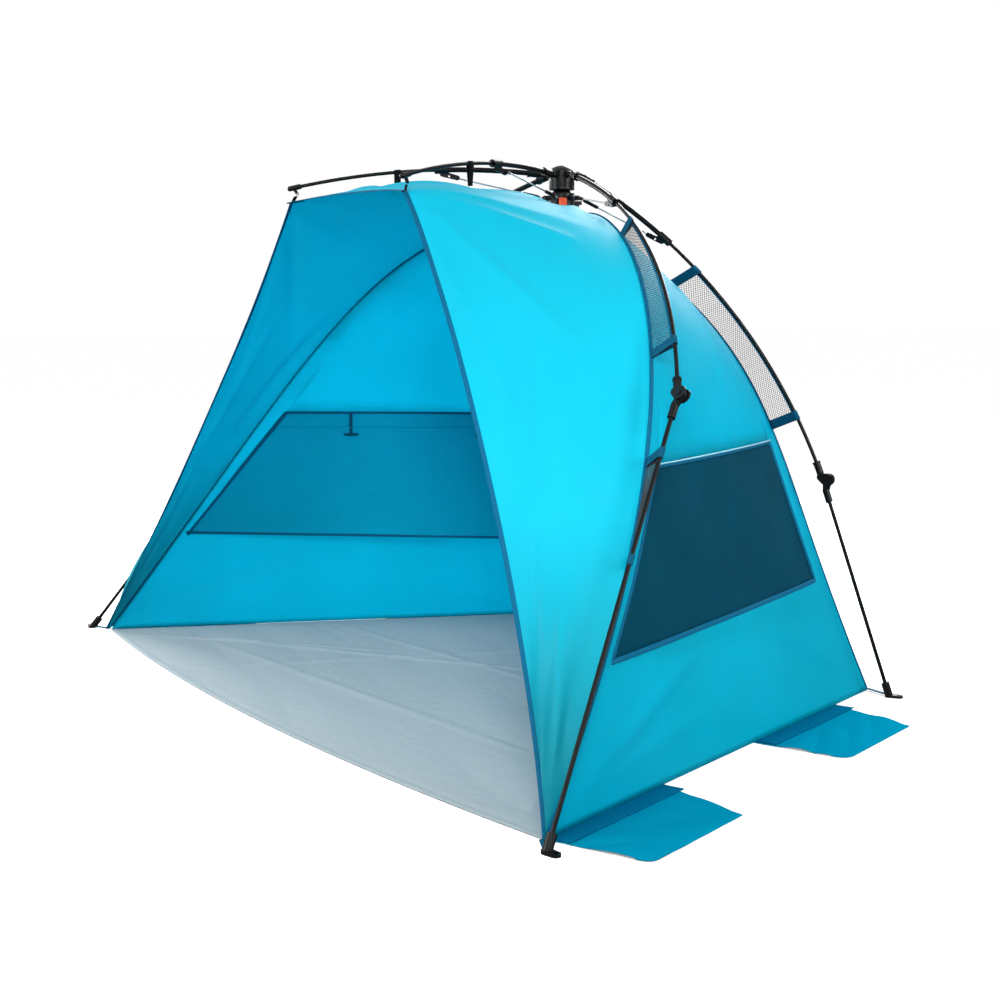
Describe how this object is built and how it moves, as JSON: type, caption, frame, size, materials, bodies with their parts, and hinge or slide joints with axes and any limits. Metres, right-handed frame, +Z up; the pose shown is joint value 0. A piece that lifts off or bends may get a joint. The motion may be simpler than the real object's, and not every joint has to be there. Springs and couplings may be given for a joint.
{
  "type": "pop up tent",
  "caption": "Free-standing pop-up beach tent: hub-and-strut umbrella frame with hinged legs, visor arms, fabric cabin with mesh windows, roll-up flaps, vents and groundsheet.",
  "frame": {"origin": "middle of the four feet's footprint (2.20 m and 1.28 m wide, 1.25 m deep), on the ground under the groundsheet", "axes": "+Z up, -Y out of the doorway, +X to the side that is on the right when the back wall is looked at from the doorway"},
  "size_m": [2.4534, 1.3113, 1.2],
  "materials": {
    "canopy_cloth": "cyan coated polyester, satin sheen",
    "window_mesh": "dark blue insect mesh",
    "vent_mesh": "grey open mesh, see-through",
    "floor_cloth": "pale grey-blue coated groundsheet, dull",
    "webbing": "navy woven webbing",
    "strap_black": "black elastic strap",
    "flap_cloth": "blue coated polyester, dull",
    "rod": "dark grey glass-fibre rod in a steel sleeve",
    "mount_plastic": "black moulded nylon",
    "strut_steel": "plain steel wire",
    "pin_steel": "bright steel pins",
    "button_plastic": "orange-red moulded plastic"
  },
  "bodies": {
    "tent_body": {"upper_hub": "mount_plastic", "hub_pins": "pin_steel", "front_canopy": "canopy_cloth", "side_wall_right": "canopy_cloth", "side_wall_left": "canopy_cloth", "back_wall": "canopy_cloth", "window_mesh_right": "window_mesh", "window_mesh_left": "window_mesh", "groundsheet": "floor_cloth", "sand_flaps_right": "canopy_cloth", "sand_flaps_left": "canopy_cloth", "vent_strips_right": "vent_mesh", "vent_strips_left": "vent_mesh", "visor_straps": "strap_black", "corner_straps": "webbing", "apex_patch": "canopy_cloth"},
    "runner": {"runner": "mount_plastic", "runner_pins": "pin_steel", "apex_clip": "mount_plastic"},
    "button_right": {"release_button_right": "button_plastic"},
    "flap_right": {"window_flap_right": "flap_cloth"},
    "front_right_pole": {"front_right_upper_pole": "rod", "front_right_pole_mounts": "mount_plastic", "front_right_knuckle": "mount_plastic"},
    "front_right_leg": {"front_right_lower_leg": "rod", "front_right_leg_ends": "mount_plastic"},
    "front_right_strut": {"front_right_strut": "strut_steel"},
    "rear_right_pole": {"rear_right_upper_pole": "rod", "rear_right_pole_mounts": "mount_plastic", "rear_right_knuckle": "mount_plastic"},
    "rear_right_leg": {"rear_right_lower_leg": "rod", "rear_right_leg_ends": "mount_plastic"},
    "rear_right_strut": {"rear_right_strut": "strut_steel"},
    "visor_right_arm": {"visor_right_arm": "rod", "visor_right_pole_mounts": "mount_plastic", "visor_right_arm_tip": "mount_plastic"},
    "visor_right_strut": {"visor_right_strut": "strut_steel"},
    "button_left": {"release_button_left": "button_plastic"},
    "flap_left": {"window_flap_left": "flap_cloth"},
    "front_left_pole": {"front_left_upper_pole": "rod", "front_left_pole_mounts": "mount_plastic", "front_left_knuckle": "mount_plastic"},
    "front_left_leg": {"front_left_lower_leg": "rod", "front_left_leg_ends": "mount_plastic"},
    "front_left_strut": {"front_left_strut": "strut_steel"},
    "rear_left_pole": {"rear_left_upper_pole": "rod", "rear_left_pole_mounts": "mount_plastic", "rear_left_knuckle": "mount_plastic"},
    "rear_left_leg": {"rear_left_lower_leg": "rod", "rear_left_leg_ends": "mount_plastic"},
    "rear_left_strut": {"rear_left_strut": "strut_steel"},
    "visor_left_arm": {"visor_left_arm": "rod", "visor_left_pole_mounts": "mount_plastic", "visor_left_arm_tip": "mount_plastic"},
    "visor_left_strut": {"visor_left_strut": "strut_steel"}
  },
  "joints": [
    {"name": "front_right_fold", "type": "hinge", "parent": "tent_body", "child": "front_right_pole", "pos_m": [0.03958, 0.1562, 1.178], "axis": [0.1449, 0.9894, 0], "range_deg": [0, 55.66], "deforming": ["front_canopy", "side_wall_right", "side_wall_left", "back_wall", "window_mesh_right", "window_mesh_left", "groundsheet", "sand_flaps_right", "sand_flaps_left", "vent_strips_right", "vent_strips_left", "visor_straps", "corner_straps", "apex_patch", "window_flap_right", "window_flap_left"]},
    {"name": "front_left_fold", "type": "hinge", "parent": "tent_body", "child": "front_left_pole", "pos_m": [-0.03958, 0.1562, 1.178], "axis": [0.1449, -0.9894, 0], "range_deg": [0, 55.68]},
    {"name": "rear_right_fold", "type": "hinge", "parent": "tent_body", "child": "rear_right_pole", "pos_m": [0.03241, 0.18544, 1.178], "axis": [-0.5861, 0.8102, 0], "range_deg": [0, 39.7]},
    {"name": "rear_left_fold", "type": "hinge", "parent": "tent_body", "child": "rear_left_pole", "pos_m": [-0.03241, 0.18544, 1.178], "axis": [-0.5861, -0.8102, 0], "range_deg": [0, 39.7]},
    {"name": "visor_right_fold", "type": "hinge", "parent": "tent_body", "child": "visor_right_arm", "pos_m": [0.01658, 0.1256, 1.178], "axis": [0.91, 0.4146, 0], "range_deg": [0, 73.64]},
    {"name": "visor_left_fold", "type": "hinge", "parent": "tent_body", "child": "visor_left_arm", "pos_m": [-0.01658, 0.1256, 1.178], "axis": [0.91, -0.4146, 0], "range_deg": [0, 73.64]},
    {"name": "runner_slide", "type": "slide", "parent": "tent_body", "child": "runner", "axis": [0, 0, -1], "range_m": [0, 0.3521]},
    {"name": "front_right_strut_swing", "type": "hinge", "parent": "runner", "child": "front_right_strut", "pos_m": [0.0411, 0.16659, 1.125], "axis": [-0.1449, -0.9894, 0], "range_deg": [0, 82.78]},
    {"name": "front_left_strut_swing", "type": "hinge", "parent": "runner", "child": "front_left_strut", "pos_m": [-0.0411, 0.16659, 1.125], "axis": [-0.1449, 0.9894, 0], "range_deg": [0, 82.78]},
    {"name": "rear_right_strut_swing", "type": "hinge", "parent": "runner", "child": "rear_right_strut", "pos_m": [0.02625, 0.19395, 1.125], "axis": [0.5861, -0.8102, 0], "range_deg": [0, 104.39]},
    {"name": "rear_left_strut_swing", "type": "hinge", "parent": "runner", "child": "rear_left_strut", "pos_m": [-0.02625, 0.19395, 1.125], "axis": [0.5861, 0.8102, 0], "range_deg": [0, 104.39]},
    {"name": "visor_right_strut_swing", "type": "hinge", "parent": "runner", "child": "visor_right_strut", "pos_m": [0.02614, 0.12995, 1.125], "axis": [-0.91, -0.4146, 0], "range_deg": [0, 64.3]},
    {"name": "visor_left_strut_swing", "type": "hinge", "parent": "runner", "child": "visor_left_strut", "pos_m": [-0.02614, 0.12995, 1.125], "axis": [-0.91, 0.4146, 0], "range_deg": [0, 64.3]},
    {"name": "front_right_knuckle_fold", "type": "hinge", "parent": "front_right_pole", "child": "front_right_leg", "pos_m": [0.83692, -0.14502, 0.71855], "axis": [-0.0024, -0.8319, 0.5549], "range_deg": [0, 160.02]},
    {"name": "front_left_knuckle_fold", "type": "hinge", "parent": "front_left_pole", "child": "front_left_leg", "pos_m": [-0.83692, -0.14502, 0.71855], "axis": [-0.0024, 0.8319, -0.5549], "range_deg": [0, 160.02]},
    {"name": "rear_right_knuckle_fold", "type": "hinge", "parent": "rear_right_pole", "child": "rear_right_leg", "pos_m": [0.51724, 0.53619, 0.48746], "axis": [0.5861, -0.8102, 0], "range_deg": [0, 160.02]},
    {"name": "rear_left_knuckle_fold", "type": "hinge", "parent": "rear_left_pole", "child": "rear_left_leg", "pos_m": [-0.51724, 0.53619, 0.48746], "axis": [0.5861, 0.8102, 0], "range_deg": [0, 160.02]},
    {"name": "button_right_press", "type": "slide", "parent": "runner", "child": "button_right", "axis": [-0.866, 0.5, 0], "range_m": [0, 0.004], "stiffness_N_per_m": 400},
    {"name": "button_left_press", "type": "slide", "parent": "runner", "child": "button_left", "axis": [0.866, 0.5, 0], "range_m": [0, 0.004], "stiffness_N_per_m": 400},
    {"name": "window_flap_right_swing", "type": "hinge", "parent": "tent_body", "child": "flap_right", "pos_m": [0.62643, 0.12868, 0.54483], "axis": [-0.5106, 0.8598, -0.0072], "range_deg": [0, 80]},
    {"name": "window_flap_left_swing", "type": "hinge", "parent": "tent_body", "child": "flap_left", "pos_m": [-0.62643, 0.12868, 0.54483], "axis": [-0.5106, -0.8598, 0.0072], "range_deg": [0, 80]}
  ],
  "couplings": [
    {"joint": "front_left_fold", "follows": "front_right_fold", "ratio": 1},
    {"joint": "rear_right_fold", "follows": "front_right_fold", "ratio": 0.71281},
    {"joint": "rear_left_fold", "follows": "front_right_fold", "ratio": 0.71281},
    {"joint": "visor_right_fold", "follows": "front_right_fold", "ratio": 1.3226},
    {"joint": "visor_left_fold", "follows": "front_right_fold", "ratio": 1.3226},
    {"joint": "runner_slide", "follows": "front_right_fold", "m_per_rad": 0.36234},
    {"joint": "front_right_strut_swing", "follows": "front_right_fold", "ratio": 1.4869},
    {"joint": "front_left_strut_swing", "follows": "front_right_fold", "ratio": 1.4869},
    {"joint": "rear_right_strut_swing", "follows": "front_right_fold", "ratio": 1.8751},
    {"joint": "rear_left_strut_swing", "follows": "front_right_fold", "ratio": 1.8751},
    {"joint": "visor_right_strut_swing", "follows": "front_right_fold", "ratio": 1.1548},
    {"joint": "visor_left_strut_swing", "follows": "front_right_fold", "ratio": 1.1548},
    {"joint": "front_right_knuckle_fold", "follows": "front_right_fold", "ratio": 2.8745},
    {"joint": "front_left_knuckle_fold", "follows": "front_right_fold", "ratio": 2.8745},
    {"joint": "rear_right_knuckle_fold", "follows": "front_right_fold", "ratio": 2.8745},
    {"joint": "rear_left_knuckle_fold", "follows": "front_right_fold", "ratio": 2.8745}
  ]
}
